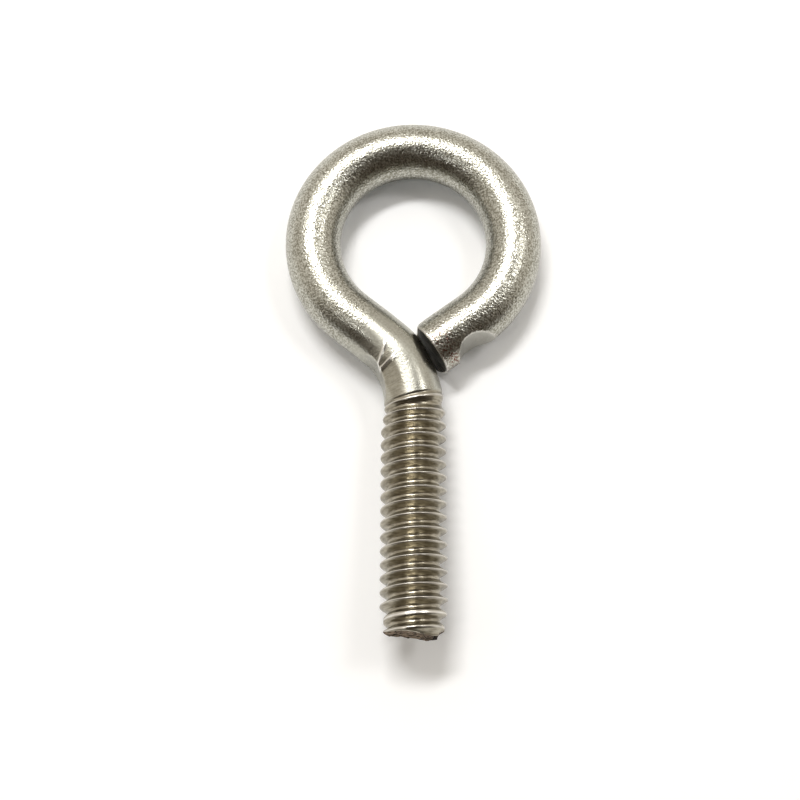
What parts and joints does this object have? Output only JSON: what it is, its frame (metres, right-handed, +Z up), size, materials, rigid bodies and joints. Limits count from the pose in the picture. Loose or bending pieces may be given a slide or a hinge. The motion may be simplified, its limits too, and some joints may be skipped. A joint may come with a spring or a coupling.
{
  "type": "eye bolt",
  "caption": "Bent-wire eye bolt: round wire formed into an open eye, with a reverse-curved neck and a rolled machine thread.",
  "frame": {"origin": "middle of the outline's base, on the surface that the bolt lies on", "axes": "+X across the eye, +Y from the threaded tip to the eye, +Z up from the surface; the bolt lies at rest on the eye's far side and the first full turn of its thread, so the eye's plane leans 0.34 degrees from the surface and the shank 5.34 degrees"},
  "size_m": [0.025, 0.051, 0.0077],
  "materials": {
    "wire": "tumbled satin stainless steel"
  },
  "bodies": {
    "root": {"eye_bolt": "wire"}
  },
  "joints": []
}
